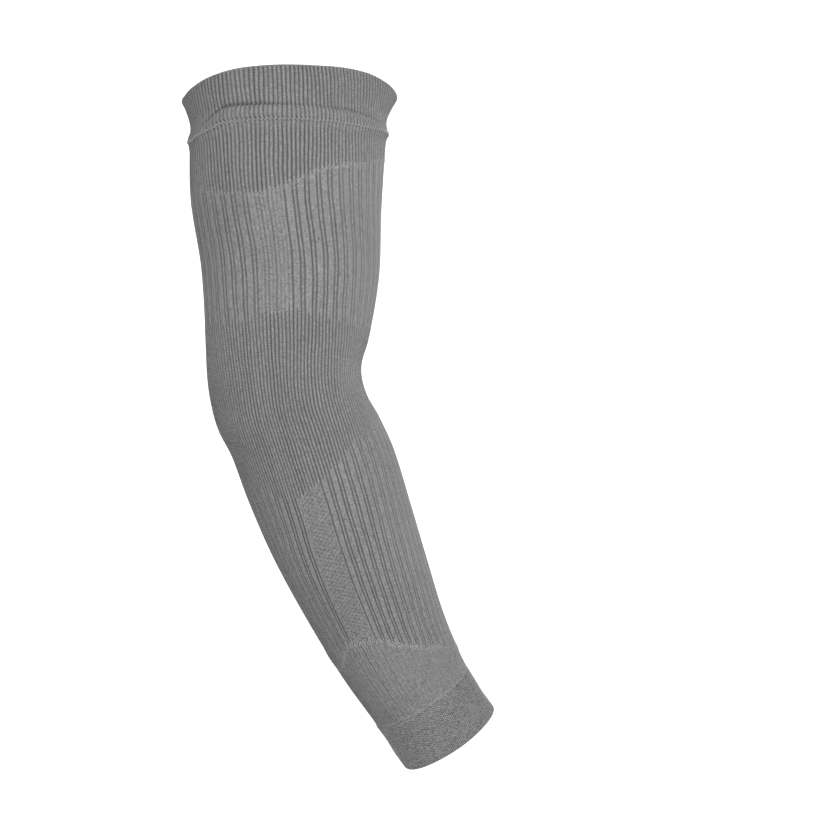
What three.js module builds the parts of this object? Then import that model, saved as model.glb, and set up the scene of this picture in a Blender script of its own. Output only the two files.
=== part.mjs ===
// Arm compression sleeve, for one arm, from the biceps to the wrist. It is a knitted tube with a
// turned-over double band at the upper arm, ribbed compression zones with two plain strips at the
// back, a closer ribbed elbow patch, a ribbed wrist zone and a plain doubled cuff.
// Millimetres, +Z up. The origin is the centre of the upper opening. The upper arm hangs straight
// down from it, the elbow's point faces -X, and the forearm is bent forward, towards +X.
import * as THREE from 'three';

// Driving dimensions: the length along the centre line, and how far the forearm is bent, in degrees
const LENGTH = 410;
const BEND = 34;

// Outer sizes of the knit where it is widest at each muscle: depth front to back, width side to side
const BICEPS_DEPTH = 120;
const BICEPS_WIDTH = 104;
const ELBOW_DEPTH = 91;
const ELBOW_WIDTH = 87;
const FOREARM_DEPTH = 93;
const FOREARM_WIDTH = 86;
const WRIST_DEPTH = 66;
const WRIST_WIDTH = 52;

// Walls: the single knit, the turned band, the doubled cuff, and the gap kept between two pieces
const KNIT_WALL = 1.6;
const BAND_WALL = 2.6;
const CUFF_WALL = 2.2;
const GAP = 0.3;

// The upper band: its height, how far the rim stands off the arm and how fast that dies away below
// it, how far the band draws in at its waist, how far the seam swells out and how soon that dies
// away, the rise and fall of the rim, and the tuck pressed into the band by its stitching
const BAND_HEIGHT = 30;
const BAND_FLARE = 5.2;
const FLARE_FADE = 3;
const BAND_WAIST = 0.9;
const WAIST_AT = 0.62;
const WAIST_SPREAD = 0.22;
const SEAM_SWELL = 1.1;
const SWELL_LENGTH = 3;
const RIM_DIP = 8;
const TUCK_DEPTH = 0.9;

// The closer ribs below the band, the ribs above the cuff, and the cuff, each at its tallest
const COLLAR_HEIGHT = 42;
const WRIST_RIB_HEIGHT = 55;
const CUFF_HEIGHT = 32;
const CUFF_STEP = 0.5;

// Ribs: wide ribs round the sleeve, each of three knitted columns, and how deep the grooves are
const WIDE_RIBS = 46;
const COLUMNS_A_RIB = 3;
const GROOVE_DEPTH = 0.5;

// The raised line where one zone ends and the next begins
const LINE_WIDTH = 3;
const LINE_RISE = 0.5;

const COLUMNS = WIDE_RIBS * COLUMNS_A_RIB;
const BICEPS = { depth: BICEPS_DEPTH, width: BICEPS_WIDTH };
const ELBOW = { depth: ELBOW_DEPTH, width: ELBOW_WIDTH };
const FOREARM = { depth: FOREARM_DEPTH, width: FOREARM_WIDTH };
const WRIST = { depth: WRIST_DEPTH, width: WRIST_WIDTH };

// The arm's form. at: share of LENGTH from the top. depth and width: shares of the named girth's.
// shift: how far the section sits towards the front, a share of the girth's depth. drift: degrees
// by which the knitted columns at the side lean towards the elbow's point.
const SECTIONS = [
  { at: 0.00, girth: BICEPS, depth: 1.02, width: 1.02, shift: -0.008, drift: 0 },
  { at: 0.07, girth: BICEPS, depth: 0.995, width: 1.00, shift: -0.018, drift: 0 },
  { at: 0.16, girth: BICEPS, depth: 0.965, width: 0.98, shift: -0.020, drift: 0.5 },
  { at: 0.26, girth: BICEPS, depth: 0.895, width: 0.93, shift: 0.012, drift: -2 },
  { at: 0.36, girth: ELBOW, depth: 1.07, width: 1.05, shift: -0.002, drift: -4 },
  { at: 0.42, girth: ELBOW, depth: 1.01, width: 1.00, shift: -0.045, drift: -3 },
  { at: 0.46, girth: ELBOW, depth: 1.00, width: 1.00, shift: -0.040, drift: -1 },
  { at: 0.50, girth: ELBOW, depth: 1.00, width: 1.00, shift: 0.006, drift: 1 },
  { at: 0.56, girth: FOREARM, depth: 1.00, width: 1.00, shift: 0.025, drift: 3.5 },
  { at: 0.64, girth: FOREARM, depth: 0.965, width: 0.96, shift: 0.015, drift: 5.5 },
  { at: 0.74, girth: FOREARM, depth: 0.88, width: 0.86, shift: 0.000, drift: 9 },
  { at: 0.84, girth: WRIST, depth: 1.11, width: 1.13, shift: -0.025, drift: 10.5 },
  { at: 0.93, girth: WRIST, depth: 1.00, width: 1.02, shift: -0.015, drift: 10.5 },
  { at: 1.00, girth: WRIST, depth: 1.00, width: 1.00, shift: 0.010, drift: 10.5 },
];

// How the arm bends. bent: the share of BEND that is reached at each share of LENGTH.
const BENDS = [
  { at: 0.00, bent: 0.00 },
  { at: 0.34, bent: 0.00 },
  { at: 0.42, bent: 0.36 },
  { at: 0.50, bent: 0.53 },
  { at: 0.56, bent: 0.68 },
  { at: 0.64, bent: 0.76 },
  { at: 0.74, bent: 0.84 },
  { at: 0.84, bent: 0.92 },
  { at: 1.00, bent: 1.00 },
];

// Where the lines between the zones run. turn: degrees round the arm, from the inside of the bend to
// the elbow's point, and the same on both sides. rim: share of RIM_DIP below the top, on the outer
// side of the arm, -Y, and within: the same on the side towards the body. seam: share of BAND_HEIGHT
// below the top. collar: share of COLLAR_HEIGHT below the seam. patch and patchFoot: the elbow patch's
// two lines, as shares of LENGTH. wrist: share of WRIST_RIB_HEIGHT above the cuff.
const LINES = [
  { turn: 0, rim: -0.25, within: -0.25, seam: 0.65, collar: 0.34, patch: 0.344, patchFoot: 0.498, wrist: 0.24 },
  { turn: 20, rim: -0.35, within: -0.20, seam: 0.69, collar: 0.37, patch: 0.344, patchFoot: 0.499, wrist: 0.28 },
  { turn: 40, rim: -0.57, within: -0.10, seam: 0.75, collar: 0.43, patch: 0.344, patchFoot: 0.501, wrist: 0.39 },
  { turn: 57, rim: -0.78, within: 0.02, seam: 0.80, collar: 0.50, patch: 0.341, patchFoot: 0.505, wrist: 0.50 },
  { turn: 75, rim: -0.81, within: 0.18, seam: 0.82, collar: 0.58, patch: 0.337, patchFoot: 0.518, wrist: 0.61 },
  { turn: 95, rim: -0.70, within: 0.38, seam: 0.84, collar: 0.73, patch: 0.335, patchFoot: 0.537, wrist: 0.77 },
  { turn: 115, rim: -0.62, within: 0.54, seam: 0.85, collar: 0.94, patch: 0.328, patchFoot: 0.556, wrist: 0.93 },
  { turn: 135, rim: -0.46, within: 0.62, seam: 0.88, collar: 1.03, patch: 0.335, patchFoot: 0.567, wrist: 1.01 },
  { turn: 150, rim: -0.19, within: 0.60, seam: 0.90, collar: 1.00, patch: 0.342, patchFoot: 0.558, wrist: 0.95 },
  { turn: 165, rim: 0.20, within: 0.56, seam: 1.01, collar: 0.86, patch: 0.343, patchFoot: 0.542, wrist: 0.82 },
  { turn: 180, rim: 0.60, within: 0.60, seam: 1.09, collar: 0.70, patch: 0.344, patchFoot: 0.538, wrist: 0.75 },
];

// The knitted zones of the tube, from one line to the next. bands: rows of facets between the two
// lines. every: a groove follows each so many columns. plain: the strips cross this zone unribbed.
// rise: share of LINE_RISE that the zone's upper line stands proud.
const ZONES = [
  { from: 'seam', to: 'collar', bands: 1, every: 2, plain: false, rise: 0 },
  { from: 'collar', to: 'patch', bands: 4, every: 3, plain: true, rise: 0.6 },
  { from: 'patch', to: 'patchFoot', bands: 4, every: 2, plain: false, rise: 0 },
  { from: 'patchFoot', to: 'wrist', bands: 4, every: 3, plain: true, rise: 0 },
  { from: 'wrist', to: 'cuff', bands: 2, every: 2, plain: false, rise: 1 },
];

// The two plain strips beside the elbow's point, in columns counted from the inside of the bend as
// shares of half the way round
const STRIP_FROM = 0.645;
const STRIP_TO = 0.75;

// The band's section, from the rim down the outside to the seam and back up inside. down: share of
// the height below the rim. deep: share of BAND_WALL below the outer face. tuck: share of TUCK_DEPTH
// pressed in. fine: the ring carries the ribs.
const BAND_SECTION = [
  { down: 0.03, deep: 0.08, tuck: 0, fine: true },
  { down: 0.14, deep: 0, tuck: 0, fine: true },
  { down: 0.32, deep: 0, tuck: 0, fine: true },
  { down: 0.60, deep: 0, tuck: 0, fine: true },
  { down: 0.73, deep: 0, tuck: 1, fine: true },
  { down: 0.86, deep: 0, tuck: -0.6, fine: true },
  { down: 1.00, deep: 0.2, tuck: 0, fine: true },
  { down: 1.00, deep: 1, tuck: 0, fine: false },
  { down: 0.62, deep: 1, tuck: 0, fine: false },
  { down: 0.25, deep: 1, tuck: 0, fine: false },
  { down: 0.03, deep: 0.92, tuck: 0, fine: false },
  { down: 0.00, deep: 0.5, tuck: 0, fine: false },
];

// The cuff's section, from its upper edge down over the rounded end and back up inside
const CUFF_SECTION = [
  { down: 0.00, deep: 0.2 },
  { down: 0.06, deep: 0 },
  { down: 0.45, deep: 0 },
  { down: 0.92, deep: 0 },
  { down: 0.98, deep: 0.15 },
  { down: 1.00, deep: 0.5 },
  { down: 0.98, deep: 0.85 },
  { down: 0.92, deep: 1 },
  { down: 0.45, deep: 1 },
  { down: 0.00, deep: 1 },
];

// Sides round the smooth cuff, and bands of facets down the inside of the tube
const CUFF_SIDES = 69;
const INNER_BANDS = 12;

// A smooth curve through one column of a table, with the column that it runs along named too.
function curve(rows, along, column, place) {
  const last = rows.length - 1;
  const here = THREE.MathUtils.clamp(place, rows[0][along], rows[last][along]);
  let i = 0;
  while (i < last - 1 && here > rows[i + 1][along]) i += 1;
  const slope = (k) => {
    const before = rows[Math.max(k - 1, 0)];
    const after = rows[Math.min(k + 1, last)];
    return (after[column] - before[column]) / (after[along] - before[along]);
  };
  const span = rows[i + 1][along] - rows[i][along];
  const t = (here - rows[i][along]) / span;
  const startPart = (1 + 2 * t) * (1 - t) ** 2 * rows[i][column] + t * (1 - t) ** 2 * span * slope(i);
  const endPart = t * t * (3 - 2 * t) * rows[i + 1][column] + t * t * (t - 1) * span * slope(i + 1);
  return startPart + endPart;
}

const FORM = SECTIONS.map(({ at, girth, depth, width, shift, drift }) => ({
  at,
  halfDepth: depth * girth.depth / 2,
  halfWidth: width * girth.width / 2,
  shift: shift * girth.depth,
  drift: THREE.MathUtils.degToRad(drift),
}));

// The centre line: straight down the upper arm, then turned forward by the share of BEND
const SPINE_STEPS = 400;
const bendAt = (at) => THREE.MathUtils.degToRad(BEND * curve(BENDS, 'at', 'bent', at));
const SPINE = [{ x: 0, z: 0 }];
for (let i = 1; i <= SPINE_STEPS; i += 1) {
  const angle = bendAt((i - 0.5) / SPINE_STEPS);
  const step = LENGTH / SPINE_STEPS;
  SPINE.push({ x: SPINE[i - 1].x + step * Math.sin(angle), z: SPINE[i - 1].z - step * Math.cos(angle) });
}

// The point of the centre line at a distance from the top, carried on straight past both ends
function spineAt(distance) {
  const place = THREE.MathUtils.clamp(distance / LENGTH, 0, 1) * SPINE_STEPS;
  const i = Math.min(Math.floor(place), SPINE_STEPS - 1);
  const x = THREE.MathUtils.lerp(SPINE[i].x, SPINE[i + 1].x, place - i);
  const z = THREE.MathUtils.lerp(SPINE[i].z, SPINE[i + 1].z, place - i);
  const angle = bendAt(distance / LENGTH);
  const beyond = distance - THREE.MathUtils.clamp(distance, 0, LENGTH);
  return { x: x + beyond * Math.sin(angle), z: z - beyond * Math.cos(angle), angle };
}

// A point of the sleeve: a distance down the centre line, a column's place round the arm in radians
// from the inside of the bend, and how far it lies outside the outer face of the knit.
function sleevePoint(distance, column, outside) {
  const at = distance / LENGTH;
  const halfDepth = curve(FORM, 'at', 'halfDepth', at);
  const halfWidth = curve(FORM, 'at', 'halfWidth', at);
  const turn = column + curve(FORM, 'at', 'drift', at) * Math.sin(column);
  const flatness = (halfDepth - halfWidth) / (halfDepth + halfWidth);
  const phi = turn + 0.5 * flatness * Math.sin(2 * turn);
  const normal = new THREE.Vector2(Math.cos(phi) / halfDepth, Math.sin(phi) / halfWidth).normalize();
  const forward = curve(FORM, 'at', 'shift', at) + halfDepth * Math.cos(phi) + outside * normal.x;
  const side = halfWidth * Math.sin(phi) + outside * normal.y;
  const { x, z, angle } = spineAt(distance);
  return new THREE.Vector3(x + Math.cos(angle) * forward, side, z + Math.sin(angle) * forward);
}

// The distance of a named line below the top of the sleeve, at a column's place round the arm
function lineAt(name, column) {
  const round = THREE.MathUtils.euclideanModulo(column + Math.PI, 2 * Math.PI) - Math.PI;
  const turn = Math.abs(THREE.MathUtils.radToDeg(round));
  const share = (key) => curve(LINES, 'turn', key, turn);
  const cuff = LENGTH - CUFF_HEIGHT;
  const seam = BAND_HEIGHT * share('seam');
  switch (name) {
    case 'rim': return RIM_DIP * share(round > 0 ? 'within' : 'rim');
    case 'seam': return seam;
    case 'collar': return seam + COLLAR_HEIGHT * share('collar');
    case 'patch': return LENGTH * share('patch');
    case 'patchFoot': return LENGTH * share('patchFoot');
    case 'wrist': return cuff - WRIST_RIB_HEIGHT * share('wrist');
    default: return cuff;
  }
}

// How deep the groove is at one of the columns, as a share of GROOVE_DEPTH
function grooveAt(zone, index) {
  const fromFront = Math.min(index, COLUMNS - index) / (COLUMNS / 2);
  const inStrip = fromFront > STRIP_FROM && fromFront < STRIP_TO;
  return index % zone.every === 0 && !(zone.plain && inStrip) ? 1 : 0;
}

// A closed ring of points round the sleeve, one for each side
function ring(sides, pointAt) {
  const points = [];
  for (let i = 0; i < sides; i += 1) points.push(pointAt(i, (i / sides) * 2 * Math.PI));
  return points;
}

// Two neighbouring rings are joined by a band of triangles, whatever the number of their points.
function joinRings(upper, lower, upperStart, lowerStart, triangles) {
  let i = 0;
  let j = 0;
  while (i < upper.length || j < lower.length) {
    const a = upperStart + (i % upper.length);
    const b = lowerStart + (j % lower.length);
    if (i < upper.length && (i + 1) * lower.length <= (j + 1) * upper.length) {
      i += 1;
      triangles.push(a, b, upperStart + (i % upper.length));
    } else {
      j += 1;
      triangles.push(a, b, lowerStart + (j % lower.length));
    }
  }
}

// A solid wall: its rings run down the outside and back up the inside, and the last joins the first.
function wallGeometry(rings) {
  const positions = rings.flat().flatMap((point) => point.toArray());
  const starts = [];
  let count = 0;
  for (const points of rings) {
    starts.push(count);
    count += points.length;
  }
  const triangles = [];
  rings.forEach((points, k) => {
    const next = (k + 1) % rings.length;
    joinRings(points, rings[next], starts[k], starts[next], triangles);
  });
  const geometry = new THREE.BufferGeometry();
  geometry.setAttribute('position', new THREE.Float32BufferAttribute(positions, 3));
  geometry.setIndex(triangles);
  geometry.computeVertexNormals();
  return geometry;
}

// How far the outer face swells out at a distance from the seam
function seamSwell(fromSeam) {
  return SEAM_SWELL * Math.exp(-((fromSeam / SWELL_LENGTH) ** 2));
}

// The upper band: the knit turned over and stitched down, flared at the rim and tucked above the seam
function upperBand() {
  const rings = BAND_SECTION.map(({ down, deep, tuck, fine }) => {
    const flare = BAND_FLARE * (1 - down) ** FLARE_FADE;
    const waist = BAND_WAIST * Math.exp(-(((down - WAIST_AT) / WAIST_SPREAD) ** 2));
    const sides = fine ? COLUMNS : WIDE_RIBS;
    return ring(sides, (index, column) => {
      const seam = lineAt('seam', column);
      const distance = THREE.MathUtils.lerp(lineAt('rim', column), seam, down);
      const groove = fine && index % 2 === 0 ? GROOVE_DEPTH : 0;
      const swell = fine ? seamSwell(seam - distance) : 0;
      const outside = flare - waist + swell - deep * BAND_WALL - tuck * TUCK_DEPTH - groove;
      return sleevePoint(distance, column, outside);
    });
  });
  return wallGeometry(rings);
}

// One row round the outside of the tube: where it lies between two lines, and what stands out of it
function tubeRow(zone, share, offset, groove, rise) {
  return ring(COLUMNS, (index, column) => {
    const start = lineAt(zone.from, column);
    const distance = THREE.MathUtils.lerp(start, lineAt(zone.to, column), share) + offset;
    const standing = seamSwell(distance - lineAt('seam', column)) + rise * LINE_RISE;
    return sleevePoint(distance, column, standing - groove * grooveAt(zone, index) * GROOVE_DEPTH);
  });
}

// The tube: rows follow the lines between the zones on the outside, and the inside is smooth.
function sleeveTube() {
  const rings = [];
  ZONES.forEach((zone, k) => {
    const start = k === 0 ? GAP : 0;
    rings.push(tubeRow(zone, 0, start, 0, zone.rise));
    rings.push(tubeRow(zone, 0, start + LINE_WIDTH, 1, 0));
    for (let band = 1; band < zone.bands; band += 1) rings.push(tubeRow(zone, band / zone.bands, 0, 1, 0));
    rings.push(tubeRow(zone, 1, -LINE_WIDTH, 1, 0));
  });
  rings.push(tubeRow(ZONES[ZONES.length - 1], 1, -GAP / 2, 0, 0));
  for (let band = INNER_BANDS; band >= 0; band -= 1) {
    const share = band / INNER_BANDS;
    rings.push(ring(WIDE_RIBS, (index, column) => {
      const top = lineAt('seam', column) + GAP;
      const foot = lineAt('cuff', column) - GAP / 2;
      return sleevePoint(THREE.MathUtils.lerp(top, foot, share), column, -KNIT_WALL);
    }));
  }
  return wallGeometry(rings);
}

// The cuff: plain jersey folded double, a small step outside the ribs above it, with a round end
function wristCuff() {
  const rings = CUFF_SECTION.map(({ down, deep }) => ring(CUFF_SIDES, (index, column) => {
    const top = lineAt('cuff', column) + GAP / 2;
    return sleevePoint(THREE.MathUtils.lerp(top, LENGTH, down), column, CUFF_STEP - deep * CUFF_WALL);
  }));
  return wallGeometry(rings);
}

// Each piece is a named mesh with the grey of its own knit.
function piece(name, geometry, color, roughness) {
  const material = new THREE.MeshStandardMaterial({ color, roughness, metalness: 0 });
  const mesh = new THREE.Mesh(geometry, material);
  mesh.name = name;
  return mesh;
}

const sleeve = new THREE.Group();
sleeve.name = 'arm_compression_sleeve';
sleeve.add(piece('upper_band', upperBand(), '#7b7c7f', 0.9));
sleeve.add(piece('sleeve_tube', sleeveTube(), '#77787b', 0.9));
sleeve.add(piece('wrist_cuff', wristCuff(), '#808184', 0.92));

export default sleeve;
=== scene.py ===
"""Looks of an arm compression sleeve, round its solid model: knit, stitching, light and camera."""
import math

import bpy
import numpy as np
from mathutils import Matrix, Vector


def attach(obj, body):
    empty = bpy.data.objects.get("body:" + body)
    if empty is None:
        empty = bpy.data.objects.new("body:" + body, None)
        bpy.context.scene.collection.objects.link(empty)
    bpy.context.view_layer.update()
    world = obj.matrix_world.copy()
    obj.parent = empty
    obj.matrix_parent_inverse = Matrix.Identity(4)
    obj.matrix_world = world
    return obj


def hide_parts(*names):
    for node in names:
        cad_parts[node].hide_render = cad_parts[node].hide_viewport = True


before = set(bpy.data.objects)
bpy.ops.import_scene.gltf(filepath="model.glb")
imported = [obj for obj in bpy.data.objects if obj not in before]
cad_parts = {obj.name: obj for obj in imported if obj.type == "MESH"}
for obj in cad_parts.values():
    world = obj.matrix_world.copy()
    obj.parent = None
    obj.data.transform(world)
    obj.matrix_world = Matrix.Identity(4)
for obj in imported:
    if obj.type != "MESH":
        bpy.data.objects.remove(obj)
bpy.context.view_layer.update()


# Camera. It looks at the side of the elbow from a little below, with a long lens, so that the
# upper arm stands upright on the left of the picture and the wrist ends at its lower right.
CAMERA_AZIMUTH = math.radians(-28)
CAMERA_ELEVATION = math.radians(-5)
CAMERA_DISTANCE = 1.2
PICTURE_WIDTH = 0.4992
AIM_RIGHT = 0.0745
AIM_UP = -0.1907
SENSOR_WIDTH = 36

back = Vector((
    math.sin(CAMERA_AZIMUTH) * math.cos(CAMERA_ELEVATION),
    -math.cos(CAMERA_AZIMUTH) * math.cos(CAMERA_ELEVATION),
    math.sin(CAMERA_ELEVATION),
))
right = Vector((math.cos(CAMERA_AZIMUTH), math.sin(CAMERA_AZIMUTH), 0))
up = back.cross(right)
aim = right * AIM_RIGHT + up * AIM_UP
camera = bpy.data.objects.new("camera", bpy.data.cameras.new("camera"))
camera.data.sensor_width = SENSOR_WIDTH
camera.data.lens = SENSOR_WIDTH * CAMERA_DISTANCE / PICTURE_WIDTH
camera.location = aim + back * CAMERA_DISTANCE
camera.rotation_mode = "QUATERNION"
camera.rotation_quaternion = (-back).to_track_quat("-Z", "Y")
bpy.context.scene.collection.objects.link(camera)
bpy.context.scene.camera = camera


# Sleeve knit. One seamless tube of nylon and elastane, knitted on a round machine with 138 columns.
# It stands here as an arm stretches it: closer ribs under the band, wide ribs down the muscles with
# a plain strip on each side of the elbow's point, a close ribbed patch over the elbow, and finer
# ribs that fade out towards the cuff.
LENGTH = 0.410
BEND = math.radians(34)
BICEPS = {"depth": 0.120, "width": 0.104}
ELBOW = {"depth": 0.091, "width": 0.087}
FOREARM = {"depth": 0.093, "width": 0.086}
WRIST = {"depth": 0.066, "width": 0.052}
BAND_HEIGHT = 0.030
RIM_DIP = 0.008
COLLAR_HEIGHT = 0.042
WRIST_RIB_HEIGHT = 0.055
CUFF_HEIGHT = 0.032
KNIT_WALL = 0.0016
COLUMNS = 138
OUTSIDE_SAMPLES = (0, 0.11, 0.27, 0.5, 0.73, 0.89)
INSIDE_SAMPLES = (0, 0.5)
COURSE = 0.00125
GROOVE_DEPTH = 0.00075
GROOVE_WIDTH = 0.17
GAP = 0.0003

SECTION_COLUMNS = ("at", "girth", "depth", "width", "shift", "drift")
SECTIONS = [dict(zip(SECTION_COLUMNS, row)) for row in (
    (0.00, BICEPS, 1.02, 1.02, -0.008, 0),
    (0.07, BICEPS, 0.995, 1.00, -0.018, 0),
    (0.16, BICEPS, 0.965, 0.98, -0.020, 0.5),
    (0.26, BICEPS, 0.895, 0.93, 0.012, -2),
    (0.36, ELBOW, 1.07, 1.05, -0.002, -4),
    (0.42, ELBOW, 1.01, 1.00, -0.045, -3),
    (0.46, ELBOW, 1.00, 1.00, -0.040, -1),
    (0.50, ELBOW, 1.00, 1.00, 0.006, 1),
    (0.56, FOREARM, 1.00, 1.00, 0.025, 3.5),
    (0.64, FOREARM, 0.965, 0.96, 0.015, 5.5),
    (0.74, FOREARM, 0.88, 0.86, 0.000, 9),
    (0.84, WRIST, 1.11, 1.13, -0.025, 10.5),
    (0.93, WRIST, 1.00, 1.02, -0.015, 10.5),
    (1.00, WRIST, 1.00, 1.00, 0.010, 10.5),
)]
BENDS = [dict(zip(("at", "bent"), row)) for row in (
    (0.00, 0.00), (0.34, 0.00), (0.42, 0.36), (0.50, 0.53), (0.56, 0.68),
    (0.64, 0.76), (0.74, 0.84), (0.84, 0.92), (1.00, 1.00),
)]
LINE_COLUMNS = ("turn", "rim", "within", "seam", "collar", "patch", "patch_foot", "wrist")
LINES = [dict(zip(LINE_COLUMNS, row)) for row in (
    (0, -0.25, -0.25, 0.65, 0.34, 0.344, 0.498, 0.24),
    (20, -0.35, -0.20, 0.69, 0.37, 0.344, 0.499, 0.28),
    (40, -0.57, -0.10, 0.75, 0.43, 0.344, 0.501, 0.39),
    (57, -0.78, 0.02, 0.80, 0.50, 0.341, 0.505, 0.50),
    (75, -0.81, 0.18, 0.82, 0.58, 0.337, 0.518, 0.61),
    (95, -0.70, 0.38, 0.84, 0.73, 0.335, 0.537, 0.77),
    (115, -0.62, 0.54, 0.85, 0.94, 0.328, 0.556, 0.93),
    (135, -0.46, 0.62, 0.88, 1.03, 0.335, 0.567, 1.01),
    (150, -0.19, 0.60, 0.90, 1.00, 0.342, 0.558, 0.95),
    (165, 0.20, 0.56, 1.01, 0.86, 0.343, 0.542, 0.82),
    (180, 0.60, 0.60, 1.09, 0.70, 0.344, 0.538, 0.75),
)]
STRIP_FROM = 0.645
STRIP_TO = 0.75
STRIP_EDGE = 0.012
SEAM_SWELL = 0.0011
SWELL_LENGTH = 0.003
# how many columns the knit has turned round the arm at shares of the length, as pulled on by hand,
# and by how many the plain strips have spread there
TWISTS = [dict(zip(("at", "turned", "spread"), row)) for row in (
    (-0.01, -2.0, 0), (0.02, -1.55, 0), (0.045, -1.08, 0), (0.07, -0.88, 0), (0.10, -0.45, 0),
    (0.125, -0.17, 0), (0.15, 0.10, 0), (0.18, 0.30, 0), (0.215, 0.30, 0), (0.265, 0.43, 0),
    (0.313, 0.45, 0), (0.335, 0.65, 0), (0.36, 1.05, 0), (0.385, 1.65, 0), (0.405, 2.20, 0),
    (0.43, 2.30, 0), (0.455, 2.10, 0), (0.475, 1.70, 0), (0.49, 1.15, 0), (0.51, 0.90, 0),
    (0.54, 0.95, 0), (0.58, 0.80, 0.10), (0.61, 0.60, 0.30), (0.65, 0.30, 1.0), (0.71, 0.05, 1.3),
    (0.80, 0, 1.3), (0.90, 0, 0.8), (1.0, 0, 0.5),
)]
# the twist is least at one place of the arm's side, in degrees from the inside of the bend, and
# grows away from it
TWIST_LEAST = 0.65
TWIST_MORE = 0.75
TWIST_MIDDLE = 112
TWIST_SPREAD = 38
# the plain strips spread from here to there, in degrees, and less close to the elbow's point
SPREAD_FROM = (118, 142)
SPREAD_ENDS = 14
# slow and quick waves in the columns: their size in columns, their length in metres, and how many
# of them go round the arm
WAVES = ((0.07, 0.083, 8), (0.05, 0.029, -15))
chance = np.random.default_rng(14)


def curve(rows, along, column, place):
    """A smooth curve through one column of a table, at many places."""
    knots = np.array([row[along] for row in rows], float)
    values = np.array([row[column] for row in rows], float)
    slopes = np.empty(len(values))
    slopes[1:-1] = (values[2:] - values[:-2]) / (knots[2:] - knots[:-2])
    slopes[0] = (values[1] - values[0]) / (knots[1] - knots[0])
    slopes[-1] = (values[-1] - values[-2]) / (knots[-1] - knots[-2])
    here = np.clip(place, knots[0], knots[-1])
    i = np.clip(np.searchsorted(knots, here, side="right") - 1, 0, len(knots) - 2)
    span = knots[i + 1] - knots[i]
    t = (here - knots[i]) / span
    start = (1 + 2 * t) * (1 - t) ** 2 * values[i] + t * (1 - t) ** 2 * span * slopes[i]
    end = t * t * (3 - 2 * t) * values[i + 1] + t * t * (t - 1) * span * slopes[i + 1]
    return start + end


for row in SECTIONS:
    row["half_depth"] = row["depth"] * row["girth"]["depth"] / 2
    row["half_width"] = row["width"] * row["girth"]["width"] / 2
    row["forward"] = row["shift"] * row["girth"]["depth"]
    row["lean"] = math.radians(row["drift"])

SPINE_STEPS = 400
spine_at = np.linspace(0, 1, SPINE_STEPS + 1)
spine_angle = BEND * curve(BENDS, "at", "bent", spine_at)
middle_angle = (spine_angle[1:] + spine_angle[:-1]) / 2
spine_x = np.concatenate([[0], np.cumsum(np.sin(middle_angle))]) * LENGTH / SPINE_STEPS
spine_z = -np.concatenate([[0], np.cumsum(np.cos(middle_angle))]) * LENGTH / SPINE_STEPS


def sleeve_points(distance, column, outside):
    """Points of the sleeve, from the distance down the centre line, the knitted column's place
    round the arm in radians from the inside of the bend, and how far they lie outside the knit."""
    at = distance / LENGTH
    half_depth = curve(SECTIONS, "at", "half_depth", at)
    half_width = curve(SECTIONS, "at", "half_width", at)
    turn = column + curve(SECTIONS, "at", "lean", at) * np.sin(column)
    flatness = (half_depth - half_width) / (half_depth + half_width)
    phi = turn + 0.5 * flatness * np.sin(2 * turn)
    normal_x = np.cos(phi) / half_depth
    normal_y = np.sin(phi) / half_width
    normal = np.hypot(normal_x, normal_y)
    forward = curve(SECTIONS, "at", "forward", at) + half_depth * np.cos(phi)
    forward = forward + outside * normal_x / normal
    side = half_width * np.sin(phi) + outside * normal_y / normal
    angle = np.interp(at, spine_at, spine_angle)
    beyond = distance - np.clip(distance, 0, LENGTH)
    x = np.interp(at, spine_at, spine_x) + beyond * np.sin(angle)
    z = np.interp(at, spine_at, spine_z) - beyond * np.cos(angle)
    return np.stack([x + np.cos(angle) * forward, side, z + np.sin(angle) * forward], -1)


def turn_of(column):
    """Degrees round the arm from the inside of the bend, the same on both sides."""
    return np.degrees(np.abs((column + np.pi) % (2 * np.pi) - np.pi))


def line_at(name, column):
    """The distance of one of the lines between zones below the top of the sleeve."""
    turn = turn_of(column)
    seam = BAND_HEIGHT * curve(LINES, "turn", "seam", turn)
    if name == "rim":
        signed = (column + np.pi) % (2 * np.pi) - np.pi
        outer_side = curve(LINES, "turn", "rim", turn)
        inner_side = curve(LINES, "turn", "within", turn)
        return RIM_DIP * np.where(signed > 0, inner_side, outer_side)
    if name == "seam":
        return seam
    if name == "collar":
        return seam + COLLAR_HEIGHT * curve(LINES, "turn", "collar", turn)
    if name == "wrist":
        return LENGTH - CUFF_HEIGHT - WRIST_RIB_HEIGHT * curve(LINES, "turn", "wrist", turn)
    if name == "cuff":
        return LENGTH - CUFF_HEIGHT + 0 * turn
    return LENGTH * curve(LINES, "turn", name, turn)


def soften(low, high, value):
    """0 below low, 1 above high, and smooth between."""
    t = np.clip((value - low) / (high - low), 0, 1)
    return t * t * (3 - 2 * t)


ZONE_COLUMNS = ("start", "end", "rows", "ribs", "hush_start", "hush_end")
ZONES = [dict(zip(ZONE_COLUMNS, row)) for row in (
    ("seam", "collar", 8, "close", 0.9, 0.5),
    ("collar", "patch", 16, "upper", 0.5, 0.1),
    ("patch", "patch_foot", 20, "patch", 0.1, 0.1),
    ("patch_foot", "wrist", 20, "lower", 0.1, 0.9),
    ("wrist", "cuff", 10, "fading", 0.9, 1.0),
)]
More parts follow.
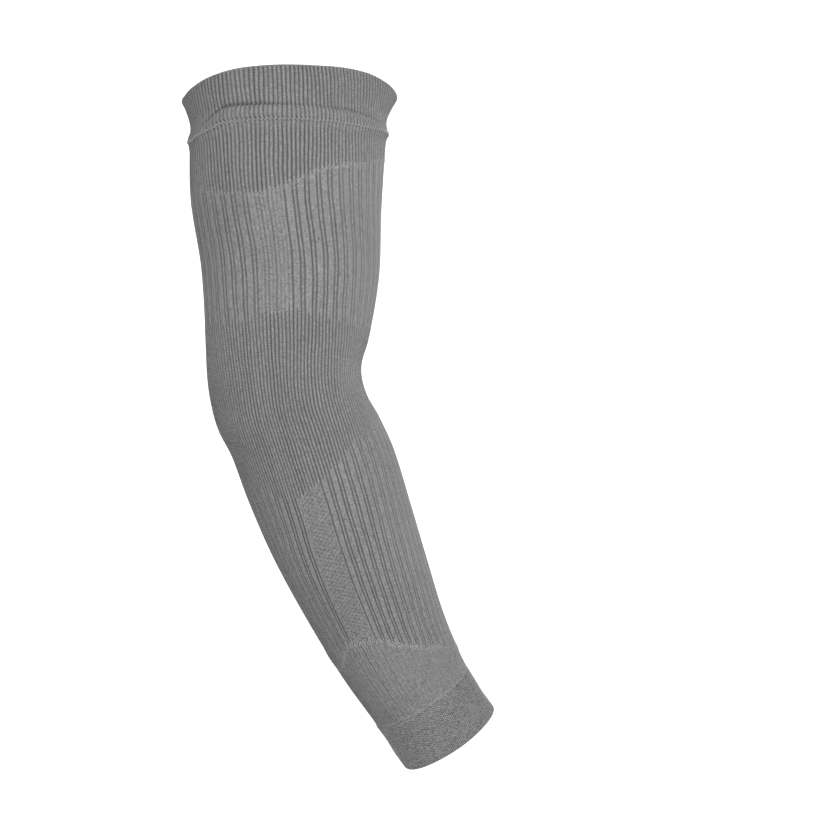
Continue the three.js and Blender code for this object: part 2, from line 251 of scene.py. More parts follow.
# shares of the full depth of a groove
CLOSE_GROOVE = 1.1
PAIRED_GROOVE = 0.95
BETWEEN_PAIRS = 0.10
EVERY_OTHER_GROOVE = 0.55
FAINT_GROOVE = (0.30, 0.65)
FAINTER_LOWER = 0.25
UNEVENNESS = 0.10
BY_STRIP_MORE = 0.35
BY_STRIP_EDGE = 0.01
BY_STRIP_TO = (0.84, 0.90)
NEAR_WRIST_LEAST = 0.32
NEAR_WRIST_MORE = 0.60
NEAR_WRIST_FROM = (0.50, 0.90)
groove_number = np.arange(COLUMNS)
from_front = np.minimum(groove_number, COLUMNS - groove_number) / (COLUMNS / 2)
strip = soften(STRIP_FROM - STRIP_EDGE, STRIP_FROM + STRIP_EDGE, from_front)
strip = strip * (1 - soften(STRIP_TO - STRIP_EDGE, STRIP_TO + STRIP_EDGE, from_front))
uneven = chance.normal(1, UNEVENNESS, COLUMNS)
faint = chance.uniform(*FAINT_GROOVE, COLUMNS)
wide_ribs = np.where(groove_number % 3 == 2, BETWEEN_PAIRS, PAIRED_GROOVE)
past_strip = soften(STRIP_TO - BY_STRIP_EDGE, STRIP_TO + BY_STRIP_EDGE, from_front)
before_point = soften(-BY_STRIP_TO[1], -BY_STRIP_TO[0], -from_front)
by_strip = 1 + BY_STRIP_MORE * past_strip * before_point
near_wrist = NEAR_WRIST_LEAST + NEAR_WRIST_MORE * soften(*NEAR_WRIST_FROM, from_front)
fine_ribs = np.where(groove_number % 2 == 0, 1.0, EVERY_OTHER_GROOVE)
GROOVES = {
    "close": CLOSE_GROOVE * uneven,
    "patch": uneven,
    "upper": (wide_ribs * (1 - strip) + faint * strip) * uneven,
    "lower": (wide_ribs * by_strip * (1 - strip) + FAINTER_LOWER * faint * strip) * uneven,
    "fading": fine_ribs * near_wrist * uneven,
}


def groove_at(weights, place):
    """How deep the grooves are, as a share, at places counted in columns round the sleeve."""
    nearest = np.rint(place).astype(int)
    return weights[nearest % COLUMNS] * np.exp(-((place - nearest) / GROOVE_WIDTH) ** 2)


def wander(place, distance):
    """How far the columns stray sideways, in columns: the knit's twist, the spread of the plain
    strips, and the unevenness of a sleeve pulled on by hand."""
    turn = turn_of(place * 2 * np.pi / COLUMNS)
    close_by = np.exp(-(((turn - TWIST_MIDDLE) / TWIST_SPREAD) ** 2))
    across = TWIST_LEAST + TWIST_MORE * (1 - close_by)
    twist = curve(TWISTS, "at", "turned", distance / LENGTH) * across
    spread = curve(TWISTS, "at", "spread", distance / LENGTH)
    spread = spread * soften(*SPREAD_FROM, turn) * soften(0, SPREAD_ENDS, 180 - turn)
    side = np.where(place > COLUMNS / 2, -1.0, 1.0)
    strays = twist + spread * side
    for size, length, number in WAVES:
        strays = strays + size * np.sin(2 * np.pi * (distance / length + number * place / COLUMNS))
    return strays


def round_ring(samples):
    """The places round the sleeve of a ring's points, in columns and in radians. samples are the
    places of the points within a column, the groove being at 0."""
    place = (np.arange(COLUMNS)[:, None] + np.array(samples)).ravel()
    return place, place * 2 * np.pi / COLUMNS


def smooth_object(name, points, faces):
    """A mesh object of points and smooth faces, in the scene."""
    mesh = bpy.data.meshes.new(name)
    mesh.from_pydata(points, [], faces)
    mesh.polygons.foreach_set("use_smooth", np.ones(len(faces), bool))
    made = bpy.data.objects.new(name, mesh)
    bpy.context.scene.collection.objects.link(made)
    return made


def knit_object(name, rings):
    """A mesh object from rings of points, the last of which joins the first. Each ring holds its
    points, their places round and how far down the knit they lie, and their groove, plain and
    raised shares."""
    starts = np.cumsum([0] + [len(ring["points"]) for ring in rings])
    faces = []
    coordinates = []
    for k in range(len(rings)):
        upper, lower = rings[k], rings[(k + 1) % len(rings)]
        first, second = starts[k], starts[(k + 1) % len(rings)]
        a_count, b_count = len(upper["points"]), len(lower["points"])
        steps = min(a_count, b_count)
        a_step, b_step = a_count // steps, b_count // steps
        a_place, b_place = np.append(upper["place"], COLUMNS), np.append(lower["place"], COLUMNS)
        for i in range(steps):
            a = range(i * a_step, (i + 1) * a_step + 1)
            b = range(i * b_step, (i + 1) * b_step + 1)
            face = [first + a[0]] + [second + j % b_count for j in b]
            faces.append(face + [first + j % a_count for j in a[:0:-1]])
            coordinates.append((a_place[a[0]], upper["down"][a[0]]))
            coordinates.extend((b_place[j], lower["down"][j % b_count]) for j in b)
            coordinates.extend((a_place[j], upper["down"][j % a_count]) for j in a[:0:-1])
    made = smooth_object(name, np.concatenate([ring["points"] for ring in rings]), faces)
    mesh = made.data
    layer = mesh.uv_layers.new(name="knit")
    layer.uv.foreach_set("vector", np.array(coordinates, np.float32).ravel())
    for share in ("groove", "plain", "raised"):
        values = np.concatenate([ring.get(share, np.zeros(len(ring["points"]))) for ring in rings])
        attribute = mesh.attributes.new(share, "FLOAT", "POINT")
        attribute.data.foreach_set("value", values.astype(np.float32))
    mesh.update()
    return made


class Value:
    """A socket of a material's nodes. Arithmetic on values adds the Math nodes that work it out."""

    def __init__(self, tree, socket=None):
        self.tree = tree
        self.socket = socket

    def node(self, kind, settings, inputs, output=0):
        made = self.tree.nodes.new(kind)
        for key, setting in settings.items():
            setattr(made, key, setting)
        for key, value in inputs.items():
            if isinstance(value, Value):
                self.tree.links.new(value.socket, made.inputs[key])
            else:
                made.inputs[key].default_value = value
        return Value(self.tree, made.outputs[output])

    def feed(self, socket):
        self.tree.links.new(self.socket, socket)

    def math(self, operation, *values):
        return self.node("ShaderNodeMath", {"operation": operation}, dict(enumerate(values)))

    def __add__(self, other):
        return self.math("ADD", self, other)

    def __radd__(self, other):
        return self.math("ADD", other, self)

    def __sub__(self, other):
        return self.math("SUBTRACT", self, other)

    def __rsub__(self, other):
        return self.math("SUBTRACT", other, self)

    def __mul__(self, other):
        return self.math("MULTIPLY", self, other)

    def __rmul__(self, other):
        return self.math("MULTIPLY", other, self)


def new_material(name):
    """A material, its shader, and a value from which its other nodes are made."""
    material = bpy.data.materials.new(name)
    material.use_nodes = True
    return material, material.node_tree.nodes["Principled BSDF"], Value(material.node_tree)


def mixed_colour(tone, dark, light):
    """The colour between dark at tone 0 and light at tone 1."""
    inputs = {0: tone, 6: (*dark, 1), 7: (*light, 1)}
    return tone.node("ShaderNodeMix", {"data_type": "RGBA"}, inputs, 2)


# sizes of the specks of the yarn, as noise scales: single fibres, strands and broad clouds
FUZZ_SCALE = 950
YARN_SCALE = 420
CLOUD_SCALE = 26
STITCH_SLANT = 0.62
STITCH_ROUNDING = 0.55
BEAD_PITCH = 1.1
# the painted shade in the grooves is broken into dashes along the courses, at this pitch and with
# this shift from column to column
DASH_PITCH = 1.7
DASH_SHIFT = 2.1


def noise(where, scale, detail):
    """Soft noise from 0 to 1 over a place."""
    inputs = {"Vector": where, "Scale": scale, "Detail": detail}
    return where.node("ShaderNodeTexNoise", {}, inputs)


def knit_material(name, light, dark, mesh_rows, mesh_depth):
    """Matt stretch yarn: V shaped stitches along each column, a little lighter and fuzzier on the
    ribs, and darker down in the grooves, partly where the stretched yarn behind them shows and
    partly as painted shade, which is broken into dashes along the courses. The plain parts are a
    fine mesh of light dots, and the lines between the zones are rows of small beads. The colour of
    stitches, dots and beads is lighter where their bump stands up and darker between: painted light
    and shade of the knit's relief."""
    material, shader, start = new_material(name)
    place = start.node("ShaderNodeUVMap", {"uv_map": "knit"}, {})
    across = start.node("ShaderNodeSeparateXYZ", {}, {0: place}, "X")
    along = start.node("ShaderNodeSeparateXYZ", {}, {0: place}, "Y") * (1 / COURSE)
    groove = start.node("ShaderNodeAttribute", {"attribute_name": "groove"}, {}, "Fac")
    plain = start.node("ShaderNodeAttribute", {"attribute_name": "plain"}, {}, "Fac")
    raised = start.node("ShaderNodeAttribute", {"attribute_name": "raised"}, {}, "Fac")
    within = across.math("FRACT", across)
    beside = across.math("ABSOLUTE", within - 0.5) * 2
    legs = 0.5 + 0.5 * across.math("COSINE", (along - beside * STITCH_SLANT) * (2 * math.pi))
    stitches = legs * (1 - beside * beside * beside * STITCH_ROUNDING)
    wales = across.math("COSINE", across * (2 * math.pi))
    courses = across.math("COSINE", along * (mesh_rows * 2 * math.pi))
    dots = 0.5 + mesh_depth * across.math("COSINE", across * math.pi) * courses
    beads = 0.5 - 0.5 * wales * across.math("COSINE", along * (BEAD_PITCH * math.pi))
    surface = stitches * (1 - plain) + dots * plain
    surface = surface * (1 - raised) + beads * raised
    nearest = across.math("FLOOR", across + 0.5)
    dashes = across.math("COSINE", along * (DASH_PITCH * math.pi) + nearest * DASH_SHIFT)
    where = start.node("ShaderNodeTexCoord", {}, {}, "Object")
    fuzz = noise(where, FUZZ_SCALE, 2)
    yarn = noise(where, YARN_SCALE, 3)
    cloud = noise(where, CLOUD_SCALE, 2)
    # the tone follows the same surface as the bump: painted light on the raised stitch legs, dots,
    # beads and raised lines, painted shade between them; the noise is the yarn's own uneven tone
    tone = 0.48 + 0.22 * surface
    tone = tone + 1.15 * (fuzz - 0.5) + 0.34 * (yarn - 0.5) + 0.20 * (cloud - 0.5)
    tone = tone + plain * (0.50 * (dots - 0.5) - 0.12) + raised * (0.80 * (beads - 0.5) + 0.04)
    # darker down in the grooves: partly the stretched yarn behind them, partly painted shade, in
    # dashes; the groove share also brings the painted shade of the band's tuck crease and of the
    # needle holes
    tone = tone * (1 - groove * (0.60 + 0.60 * fuzz + 0.12 * dashes)) + raised * (fuzz - 0.5) * 0.6
    tone = start.node("ShaderNodeClamp", {}, {0: tone})
    height = surface * 0.13 * (1 - groove * 0.6) + fuzz * 0.07 + yarn * 0.05
    bump = start.node("ShaderNodeBump", {}, {"Height": height, "Strength": 1.0, "Distance": 0.001})
    mixed_colour(tone, dark, light).feed(shader.inputs["Base Color"])
    bump.feed(shader.inputs["Normal"])
    shader.inputs["Roughness"].default_value = 0.92
    shader.inputs["Specular IOR Level"].default_value = 0.25
    shader.inputs["Sheen Weight"].default_value = 0.12
    shader.inputs["Sheen Roughness"].default_value = 0.45
    return material


def seam_swell(from_seam):
    """How far the knit swells out at a distance from the bulky seam."""
    return SEAM_SWELL * np.exp(-((from_seam / SWELL_LENGTH) ** 2))


# Rows of the tube: near each line they lie close together, and elsewhere at even shares. The
# hushes say by how much the grooves are shallower in the rows near a line.
NEAR_LINE = (0.0008, 0.0016, 0.0026)
SEAM_HUSHES = (1.0, 0.8, 0.35)
LINE_HUSHES = (0.75, 0.35, 0.0)
LINE_WIDTH = 0.0013
WRIST_LINE_WIDTH = 1.8 * LINE_WIDTH
CUFF_LINE_WIDTH = 2 * LINE_WIDTH
COLLAR_RISE = 0.00025
COLLAR_FADES = 0.6
COLLAR_FADES_FROM = (140, 160)
WRIST_LINE_RISE = 0.00036
STRIP_LINE_RISE = 0.0003
CUFF_LINE_RISE = 0.00016
# the needle holes by the seam are drawn as deeper grooves whose darkening is painted shade: the
# groove share on the seam's rows, and what is added in the rows below
NEEDLE_HOLE = 1.8
HOLE_FADES = (0.8, 0.3)
TUCKED_UNDER = 0.0006
TUCKED_DEPTH = 0.0008
STRAYS = {
    "seam": 0, "collar": 0.00045, "patch": 0.0009,
    "patch_foot": 0.0005, "wrist": 0.00012, "cuff": 0,
}
place, column = round_ring(OUTSIDE_SAMPLES)
level = np.zeros(len(column))
plain_here = np.interp(place, np.arange(COLUMNS + 1), np.append(strip, strip[0]))
stray = {name: amount * chance.normal(0, 1, COLUMNS + 1) for name, amount in STRAYS.items()}
for amounts in stray.values():
    amounts[-1] = amounts[0]


def strayed_line(name):
    """A line between zones, which hand-pulled knit makes a little uneven from column to column."""
    return line_at(name, column) + np.interp(place, np.arange(COLUMNS + 1), stray[name])


def line_rise(name, offset):
    """How far one of the raised lines stands out of the knit at an offset from its middle."""
    if name == "collar":
        shown = 1 - COLLAR_FADES * soften(*COLLAR_FADES_FROM, turn_of(column))
        return COLLAR_RISE * shown * math.exp(-((offset / LINE_WIDTH) ** 2))
    if name == "wrist":
        return level + WRIST_LINE_RISE * math.exp(-((offset / WRIST_LINE_WIDTH) ** 4))
    if name == "cuff":
        return level + CUFF_LINE_RISE * math.exp(-((offset / CUFF_LINE_WIDTH) ** 2))
    if name in ("patch", "patch_foot"):
        return STRIP_LINE_RISE * plain_here * math.exp(-((offset / LINE_WIDTH) ** 2))
    return level


def tube_row(distance, weights, rise, is_plain):
    """One ring of points round the outside of the tube."""
    strays = wander(place, distance)
    groove = groove_at(weights, place)
    angle = column + strays * 2 * np.pi / COLUMNS
    swell = seam_swell(distance - line_at("seam", column))
    points = sleeve_points(distance, angle, rise + swell - groove * GROOVE_DEPTH)
    return {
        "points": points,
        "place": place,
        "down": distance,
        "groove": np.clip(groove, 0, 1),
        "plain": plain_here * is_plain,
        "raised": rise / WRIST_LINE_RISE,
    }


PLAIN_UPPER = 0.15
PLAIN_LOWER = 1.0
OPEN_BEHIND = (0.74, 0.94)
OPEN_IN_FRONT = (0.10, 0.30)
rings = []
# at the front and the back of the arm every second needle hole is pulled open more, drawn as a
# deeper groove with more painted shade
near_ends = soften(*OPEN_BEHIND, from_front)
near_ends = near_ends + soften(-OPEN_IN_FRONT[1], -OPEN_IN_FRONT[0], -from_front)
near_ends = near_ends * (groove_number % 2 == 0)
for k, zone in enumerate(ZONES):
    weights = GROOVES[zone["ribs"]]
    before = GROOVES[ZONES[k - 1]["ribs"]] if k else weights
    start = strayed_line(zone["start"]) + (GAP / 2 if k == 0 else 0)
    end = strayed_line(zone["end"])
    is_plain = {"upper": PLAIN_UPPER, "lower": PLAIN_LOWER}.get(zone["ribs"], 0.0)
    mixed = (weights + before) / 2 * (1 - zone["hush_start"])
    holes = NEEDLE_HOLE * np.ones(COLUMNS) if k == 0 else mixed
    rings.append(tube_row(start, holes, line_rise(zone["start"], 0), is_plain / 2))
    hushes = SEAM_HUSHES if k == 0 else LINE_HUSHES
    for j, offset in enumerate(NEAR_LINE):
        kept = weights * (1 - hushes[j] * zone["hush_start"])
        if k == 0 and j < len(HOLE_FADES):
            kept = kept + HOLE_FADES[j] + near_ends
        rings.append(tube_row(start + offset, kept, line_rise(zone["start"], offset), is_plain))
    for i in range(1, zone["rows"] + 1):
        share = i / (zone["rows"] + 1)
        distance = start + NEAR_LINE[-1] + (end - start - 2 * NEAR_LINE[-1]) * share
        rings.append(tube_row(distance, weights, level, is_plain))
    for offset, hush in zip(reversed(NEAR_LINE), reversed(LINE_HUSHES)):
        kept = weights * (1 - hush * zone["hush_end"])
        rings.append(tube_row(end - offset, kept, line_rise(zone["end"], offset), is_plain))
no_grooves = np.zeros(COLUMNS)
tube_foot = line_at("cuff", column)
rings.append(tube_row(tube_foot - GAP / 2, no_grooves, level + CUFF_LINE_RISE, 0.0))
rings.append(tube_row(tube_foot + TUCKED_UNDER, no_grooves, level - TUCKED_DEPTH, 0.0))

# rows of the inside, from the foot up, with faint ribs where the outside has its grooves
INSIDE_ROWS = 24
INNER_RIB = 0.00024
INNER_SHADE = 0.35
inner_place, inner_column = round_ring(INSIDE_SAMPLES)
behind = np.tile((0.0, 1.0), COLUMNS)
top = line_at("seam", inner_column) + GAP / 2
foot = line_at("cuff", inner_column) - GAP / 2
for i in range(INSIDE_ROWS, -1, -1):
    distance = top + (foot - top) * i / INSIDE_ROWS
    points = sleeve_points(distance, inner_column, INNER_RIB / 2 - INNER_RIB * behind - KNIT_WALL)
    shade = INNER_SHADE * behind
    rings.append({"points": points, "place": inner_place, "down": distance, "groove": shade})

# the knit's tone runs between these colours; its dark end is reached in the grooves, the tuck
# crease and the needle holes, where it is partly painted shade
KNIT_LIGHT = (0.148, 0.148, 0.149)
KNIT_DARK = (0.020, 0.020, 0.021)
sleeve_knit = knit_object("sleeve_knit", rings)
sleeve_knit.data.materials.append(knit_material("sleeve_yarn", KNIT_LIGHT, KNIT_DARK, 0.5, 0.22))
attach(sleeve_knit, "root")
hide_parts("sleeve_tube")


# Upper band. The knit of the top edge is turned over and stitched down, so it is double. It flares
# off the arm at the rim, its ribs run over the rim, and the stitching pulls a tuck into it, with a
# puffed strip between the tuck and the seam.
BAND_WALL = 0.0026
BAND_FLARE = 0.0052
FLARE_FADE = 3
BAND_WAIST = 0.0009
WAIST_AT = 0.62
WAIST_SPREAD = 0.22
BAND_FOOT = 0.0004
TUCKS = [dict(zip(("turn", "height", "depth"), row)) for row in (
    (0, 0.06, 0.0), (20, 0.08, 0.05), (45, 0.17, 0.3), (64, 0.25, 0.5),
    (80, 0.26, 0.45), (95, 0.27, 0.3), (115, 0.28, 0.65), (130, 0.30, 1.0),
    (150, 0.31, 1.0), (160, 0.22, 0.75), (169, 0.13, 0.15), (180, 0.06, 0.0),
)]
TUCK_DEPTH = 0.0012
TUCK_PUFF = 0.0009
TUCK_SLIP = 0.45
TUCK_SLIP_MORE = 0.6
# how dark the tuck's crease is painted, as painted shade where the tuck presses the knit in
TUCK_PAINTED_SHADE = 0.45
SLIP_MIDDLE = 112
SLIP_SPREAD = 18
SLIP_MORE_BELOW = 100
SLIP_STARTS = (0.9, 1.14)
SLIP_ENDS = 0.4
CREASE_AT = 1.03
CREASE_ABOVE = 0.15
CREASE_BELOW = 0.08
PUFF_BULGE = 0.8
PUFF_ABOVE = 0.35
# grooves next to the seam are deeper and darker, painted shade at the needle holes, and shallower
# on the puff
GROOVE_AT_SEAM = 1.3
SEAM_STEPS = 0.16
GROOVE_ON_PUFF = 0.8
PUFF_STEPS = 0.8
# rows of the band: over the rim, shares of the way down from the rim to the tuck, steps over the
# tuck in its own heights above the seam, and shares of the way up the inside
RIM_STEPS = 8
OUTER_SHARES = (0.07, 0.15, 0.25, 0.36, 0.48, 0.60, 0.72, 0.83, 0.92, 1.0)
TUCK_STEPS = (
    1.42, 1.32, 1.24, 1.17, 1.11, 1.06, 1.01, 0.95, 0.87, 0.77, 0.64, 0.50, 0.36, 0.24, 0.14, 0.07,
)
INNER_SHARES = (0.85, 0.7, 0.55, 0.4, 0.28, 0.18, 0.1, 0.04)
TUCK_TOP = 1.5
# over the flare the ribs are drawn towards the outer side of the arm, which faces FACING
RIM_DRAWN = 1.15
BAND_RADIUS = 0.056
FACING = math.radians(-118)

band_turn = turn_of(column)
rim_drawn = RIM_DRAWN * BAND_FLARE / BAND_RADIUS * np.sin(column - FACING)
rim = line_at("rim", column - rim_drawn)
seam = line_at("seam", column)
tuck_height = BAND_HEIGHT * curve(TUCKS, "turn", "height", band_turn)
tuck_share = curve(TUCKS, "turn", "depth", band_turn)


def band_row(distance, deep, tucked, depth=1.0, slipped=0.0):
    """One ring of points of the band. deep is how far it lies inside the outer face and tucked how
    far the tuck presses it in, both in metres. depth is the share of the grooves' full depth, and
    slipped is how many columns the ribs have moved."""
    down = np.clip((distance - rim) / (seam - rim), 0, 1)
    flare = BAND_FLARE * (1 - down) ** FLARE_FADE
    waist = BAND_WAIST * np.exp(-(((down - WAIST_AT) / WAIST_SPREAD) ** 2))
    swell = seam_swell(seam - distance) if deep < BAND_WALL / 2 else 0.0
    groove = groove_at(uneven, place) * depth
    inward = -1.0 if deep > BAND_WALL / 2 else 1.0
    angle = column + (wander(place, distance) + slipped) * 2 * np.pi / COLUMNS
    angle = angle - rim_drawn * flare / BAND_FLARE
    outside = flare - waist + swell - deep - tucked - inward * groove * GROOVE_DEPTH
    # the grooves' darkening, plus painted shade in the tuck's crease where it presses the knit in
    shade = np.clip(groove + np.clip(tucked / TUCK_DEPTH, 0, 1) * TUCK_PAINTED_SHADE, 0, 1)
    points = sleeve_points(distance, angle, outside)
    return {"points": points, "place": place, "down": distance, "groove": shade}


def rim_row(i):
    """One ring of points over the round rim, at step i from the inner face to the outer one. The
    grooves are shallower on the rim's edge."""
    theta = math.pi * (1 - i / RIM_STEPS)
    deep = BAND_WALL / 2 * (1 - math.cos(theta))
    depth = 0.75 + 0.5 * abs(i / RIM_STEPS - 0.5)
    return band_row(rim + BAND_WALL / 2 * (1 - math.sin(theta)), deep, 0.0, depth)


band_rings = [rim_row(i) for i in range(RIM_STEPS // 2, RIM_STEPS + 1)]
lip = rim + BAND_WALL / 2
above = seam - TUCK_TOP * tuck_height
for share in OUTER_SHARES:
    swell = PUFF_ABOVE * TUCK_PUFF * tuck_share * soften(0.5, 1.0, share)
    band_rings.append(band_row(lip + (above - lip) * share, 0.0, -swell))
side = np.where(place > COLUMNS / 2, 1.0, -1.0)
slip = -TUCK_SLIP * np.tanh((band_turn - SLIP_MIDDLE) / SLIP_SPREAD) * side
slip = slip * (1 + TUCK_SLIP_MORE * (band_turn < SLIP_MORE_BELOW))
for x in TUCK_STEPS:
    crease_width = CREASE_ABOVE if x > CREASE_AT else CREASE_BELOW
    crease = math.exp(-(((x - CREASE_AT) / crease_width) ** 2))
    puff = math.sin(math.pi * x) ** PUFF_BULGE if x < 1 else PUFF_ABOVE
    tucked = tuck_share * (TUCK_DEPTH * crease - TUCK_PUFF * puff * (1 - crease))
    started = float(soften(-SLIP_STARTS[1], -SLIP_STARTS[0], -x))
    slipped = slip * tuck_share * started * float(soften(0.0, SLIP_ENDS, x))
    depth = GROOVE_AT_SEAM if x < SEAM_STEPS else GROOVE_ON_PUFF if x < PUFF_STEPS else 1.0
    band_rings.append(band_row(seam - x * tuck_height, 0.0, tucked, depth, slipped))
# the needle holes on the band's side of the seam: deep grooves with painted shade
band_rings.append(band_row(seam - GAP / 2, BAND_FOOT, 0.0, NEEDLE_HOLE))
band_rings.append(band_row(seam - GAP / 2, BAND_WALL, 0.0, 0.5))
for share in INNER_SHARES:
    band_rings.append(band_row(lip + (seam - lip) * share, BAND_WALL, 0.0))
band_rings.extend(rim_row(i) for i in range(RIM_STEPS // 2))

band_knit = knit_object("band_knit", band_rings)
band_knit.data.materials.append(knit_material("band_yarn", KNIT_LIGHT, KNIT_DARK, 0.5, 0.22))
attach(band_knit, "root")
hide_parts("upper_band")


# Seam stitching. A zigzag row of stretch stitches holds the turned band down. Each stitch dips
# into a groove and stands up on the next rib, and the yarn is as thick as the knit's own.
STITCH_RADIUS = 0.00028
STITCH_SWING = 0.00065
STITCH_LIFT = 0.00022
STITCH_DIP = 0.0006
DIP_WIDTH = 0.22
STITCH_STEPS = 8
STITCH_SIDES = 6
STRAND_SCALE = 2200


def yarn_object(name, path, outward):
    """A round yarn along a ring of points. outward is a direction across the path at each."""
    count = len(path)
    ahead = np.roll(path, -1, axis=0) - np.roll(path, 1, axis=0)
    ahead /= np.linalg.norm(ahead, axis=1, keepdims=True)
    across = np.cross(ahead, outward)
    across /= np.linalg.norm(across, axis=1, keepdims=True)
    upward = np.cross(across, ahead)
    points = []
    for j in range(STITCH_SIDES):
        angle = 2 * math.pi * j / STITCH_SIDES
        points.append(path + STITCH_RADIUS * (math.cos(angle) * upward + math.sin(angle) * across))
    points = np.stack(points, 1).reshape(-1, 3)
    faces = []
    for i in range(count):
        for j in range(STITCH_SIDES):
            here, there = i * STITCH_SIDES, (i + 1) % count * STITCH_SIDES
            following = (j + 1) % STITCH_SIDES
            faces.append((here + j, there + j, there + following, here + following))
    return smooth_object(name, points, faces)


def yarn_material(name, light, dark):
    """Bare stitching yarn, a little lighter than the knit round it, with twisted strands."""
    material, shader, start = new_material(name)
    where = start.node("ShaderNodeTexCoord", {}, {}, "Object")
    strands = noise(where, STRAND_SCALE, 3)
    tone = start.node("ShaderNodeClamp", {}, {0: 0.55 + 0.9 * (strands - 0.5)})
    inputs = {"Height": strands, "Strength": 0.6, "Distance": 0.0002}
    bump = start.node("ShaderNodeBump", {}, inputs)
    mixed_colour(tone, dark, light).feed(shader.inputs["Base Color"])
    bump.feed(shader.inputs["Normal"])
    shader.inputs["Roughness"].default_value = 0.9
    shader.inputs["Sheen Weight"].default_value = 0.18
    return material


stitch_place = np.arange(COLUMNS * STITCH_STEPS) / STITCH_STEPS
stitch_column = stitch_place * 2 * np.pi / COLUMNS
swing = STITCH_SWING * np.sin(2 * np.pi * stitch_place)
stitch_distance = line_at("seam", stitch_column) + swing
from_groove = (stitch_place - np.rint(stitch_place)) / DIP_WIDTH
lift = SEAM_SWELL + STITCH_LIFT - STITCH_DIP * np.exp(-from_groove ** 2)
strays = wander(stitch_place, stitch_distance) * 2 * np.pi / COLUMNS
stitch_path = sleeve_points(stitch_distance, stitch_column + strays, lift)
stitch_out = sleeve_points(stitch_distance, stitch_column + strays, lift + 0.01) - stitch_path
seam_stitching = yarn_object("seam_stitching", stitch_path, stitch_out)
YARN_LIGHT = (0.20, 0.20, 0.202)
YARN_DARK = (0.05, 0.05, 0.051)
seam_stitching.data.materials.append(yarn_material("seam_yarn", YARN_LIGHT, YARN_DARK))
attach(seam_stitching, "root")


# Wrist cuff. Plain jersey, folded double, a small step outside the ribs above it, with a soft
# round end. It hangs a little slack between its two edges.
CUFF_WALL = 0.0022
CUFF_STEP = 0.0005
CUFF_SAMPLES = (0, 1 / 3, 2 / 3)
CUFF_EDGE = 0.0012
CUFF_ROWS = 16
END_STEPS = 8
SLACK = 0.00015
SLACK_LENGTH = 0.021
SLACK_WAVES = 5
# rows over the top edge: how far below the top they lie, and how deep
TOP_EDGE = ((0, 0.0012), (-0.0001, 0.0005), (0.0002, 0.0002))
cuff_place, cuff_column = round_ring(CUFF_SAMPLES)
cuff_top = line_at("cuff", cuff_column) + GAP / 2
cuff_foot = LENGTH - CUFF_WALL / 2


def cuff_row(distance, deep):
    """One ring of points of the cuff. deep is how far it lies inside the outer face, in metres."""
    wave = distance / SLACK_LENGTH + SLACK_WAVES * cuff_place / COLUMNS
    slack = SLACK * np.sin(2 * np.pi * wave)
    outside = CUFF_STEP - deep + slack * soften(0, CUFF_EDGE, distance - cuff_top)
    return {
        "points": sleeve_points(distance, cuff_column, outside),
        "place": cuff_place,
        "down": distance,
        "plain": np.ones(len(cuff_column)),
    }


cuff_rings = [cuff_row(cuff_top + below, deep) for below, deep in TOP_EDGE]
for i in range(CUFF_ROWS + 1):
    distance = cuff_top + CUFF_EDGE + (cuff_foot - cuff_top - CUFF_EDGE) * i / CUFF_ROWS
    cuff_rings.append(cuff_row(distance, 0.0))
for i in range(1, END_STEPS):
    theta = math.pi * i / END_STEPS
    distance = LENGTH - CUFF_WALL / 2 * (1 - math.sin(theta)) + 0 * cuff_column
    cuff_rings.append(cuff_row(distance, CUFF_WALL / 2 * (1 - math.cos(theta))))
for i in range(CUFF_ROWS // 2, -1, -1):
    distance = cuff_top + (cuff_foot - cuff_top) * i / (CUFF_ROWS // 2)
    cuff_rings.append(cuff_row(distance, CUFF_WALL))

CUFF_LIGHT = (0.149, 0.149, 0.150)
CUFF_DARK = (0.012, 0.012, 0.013)
cuff_knit = knit_object("cuff_knit", cuff_rings)
cuff_knit.data.materials.append(knit_material("cuff_yarn", CUFF_LIGHT, CUFF_DARK, 1.0, 0.5))
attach(cuff_knit, "root")
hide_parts("wrist_cuff")


# Studio. A pale floor that curves up all round into a pale wall, well below and behind the sleeve,
# which glows a little behind it so that it stays white. One large soft panel lights the sleeve
# from above the camera, a little to its right, with weak ones from the right side and from behind.
FLOOR_Z = -0.62
FLOOR_RADIUS = 2.4
WALL_HEIGHT = 3.0
WALL_BEND = 0.9
BEND_STEPS = 12
STAGE_SIDES = 96
PAPER_WHITE = 0.9
GLOW_RISE = 0.75
GLOW_START = 0.1
GLOW_LEAST = 0.2
GLOW_STRENGTH = 0.30
ROOM_LIGHT = 0.05
bend_from = FLOOR_RADIUS - WALL_BEND
profile = [(0.0, 0.0), (bend_from, 0.0)]
for i in range(1, BEND_STEPS + 1):
    theta = math.pi / 2 * i / BEND_STEPS
    profile.append((bend_from + WALL_BEND * math.sin(theta), WALL_BEND * (1 - math.cos(theta))))
profile.append((FLOOR_RADIUS, WALL_HEIGHT))
stage_points = [(0.0, 0.0, FLOOR_Z)]
for reach, height in profile[1:]:
    for j in range(STAGE_SIDES):
        angle = 2 * math.pi * j / STAGE_SIDES
        stage_points.append((reach * math.cos(angle), reach * math.sin(angle), FLOOR_Z + height))
stage_faces = [(0, 1 + j, 1 + (j + 1) % STAGE_SIDES) for j in range(STAGE_SIDES)]
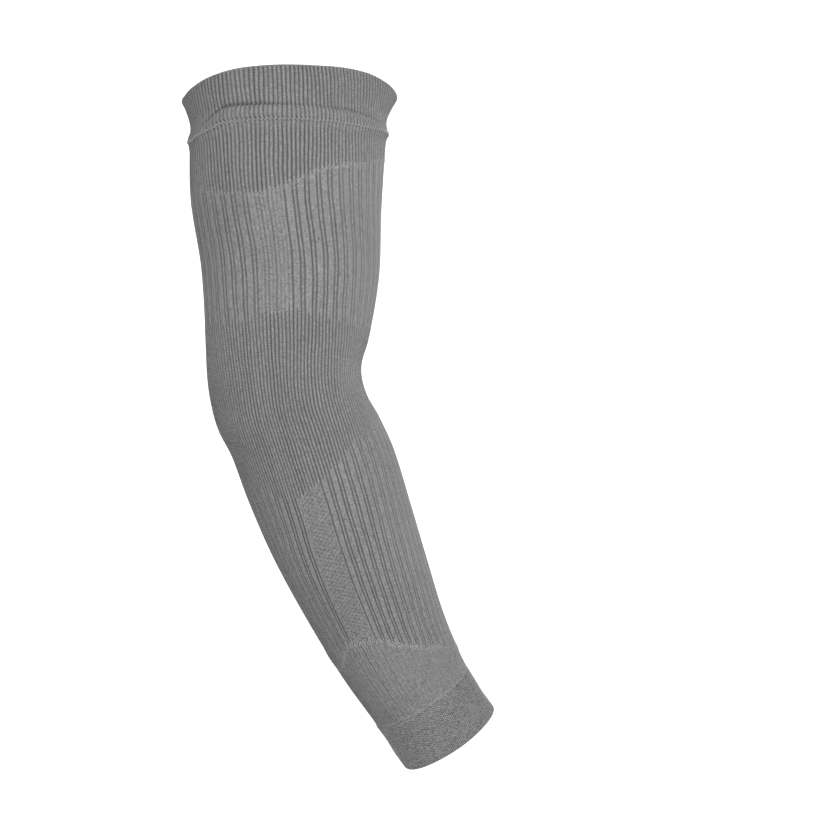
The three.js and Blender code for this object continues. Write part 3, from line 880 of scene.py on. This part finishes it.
for i in range(len(profile) - 2):
    for j in range(STAGE_SIDES):
        a, b = 1 + i * STAGE_SIDES, 1 + (i + 1) * STAGE_SIDES
        following = (j + 1) % STAGE_SIDES
        stage_faces.append((a + j, b + j, b + following, a + following))
floor = smooth_object("floor", stage_points, stage_faces)
floor_material, paper, paper_start = new_material("floor_paper")
paper.inputs["Base Color"].default_value = (PAPER_WHITE, PAPER_WHITE, PAPER_WHITE, 1)
paper.inputs["Roughness"].default_value = 1.0
paper_place = paper_start.node("ShaderNodeTexCoord", {}, {}, "Object")
behind_x = paper_place.node("ShaderNodeSeparateXYZ", {}, {0: paper_place}, "X") * (-back.x)
behind_y = paper_place.node("ShaderNodeSeparateXYZ", {}, {0: paper_place}, "Y") * (-back.y)
glow = (behind_x + behind_y) * GLOW_RISE - GLOW_START
glow = paper_place.node("ShaderNodeClamp", {}, {0: glow}) * (1 - GLOW_LEAST) + GLOW_LEAST
glow.feed(paper.inputs["Emission Color"])
paper.inputs["Emission Strength"].default_value = GLOW_STRENGTH
floor.data.materials.append(floor_material)

world = bpy.data.worlds.new("studio")
world.use_nodes = True
world.node_tree.nodes["Background"].inputs["Color"].default_value = (1, 1, 1, 1)
world.node_tree.nodes["Background"].inputs["Strength"].default_value = ROOM_LIGHT
bpy.context.scene.world = world
bpy.context.scene.view_settings.view_transform = "Standard"


def soft_panel(name, azimuth, elevation, distance, size, power):
    """A square light panel that faces the middle of the sleeve."""
    light = bpy.data.lights.new(name, "AREA")
    light.shape = "SQUARE"
    light.size = size
    light.energy = power
    panel = bpy.data.objects.new(name, light)
    azimuth, elevation = math.radians(azimuth), math.radians(elevation)
    direction = Vector((
        math.sin(azimuth) * math.cos(elevation),
        -math.cos(azimuth) * math.cos(elevation),
        math.sin(elevation),
    ))
    panel.location = aim + direction * distance
    panel.rotation_mode = "QUATERNION"
    panel.rotation_quaternion = (-direction).to_track_quat("-Z", "Y")
    bpy.context.scene.collection.objects.link(panel)


soft_panel("key_light", -18, 22, 1.6, 0.9, 54)
soft_panel("fill_light", 40, 5, 1.8, 1.2, 2)
soft_panel("back_light", 150, 35, 1.8, 1.2, 6)
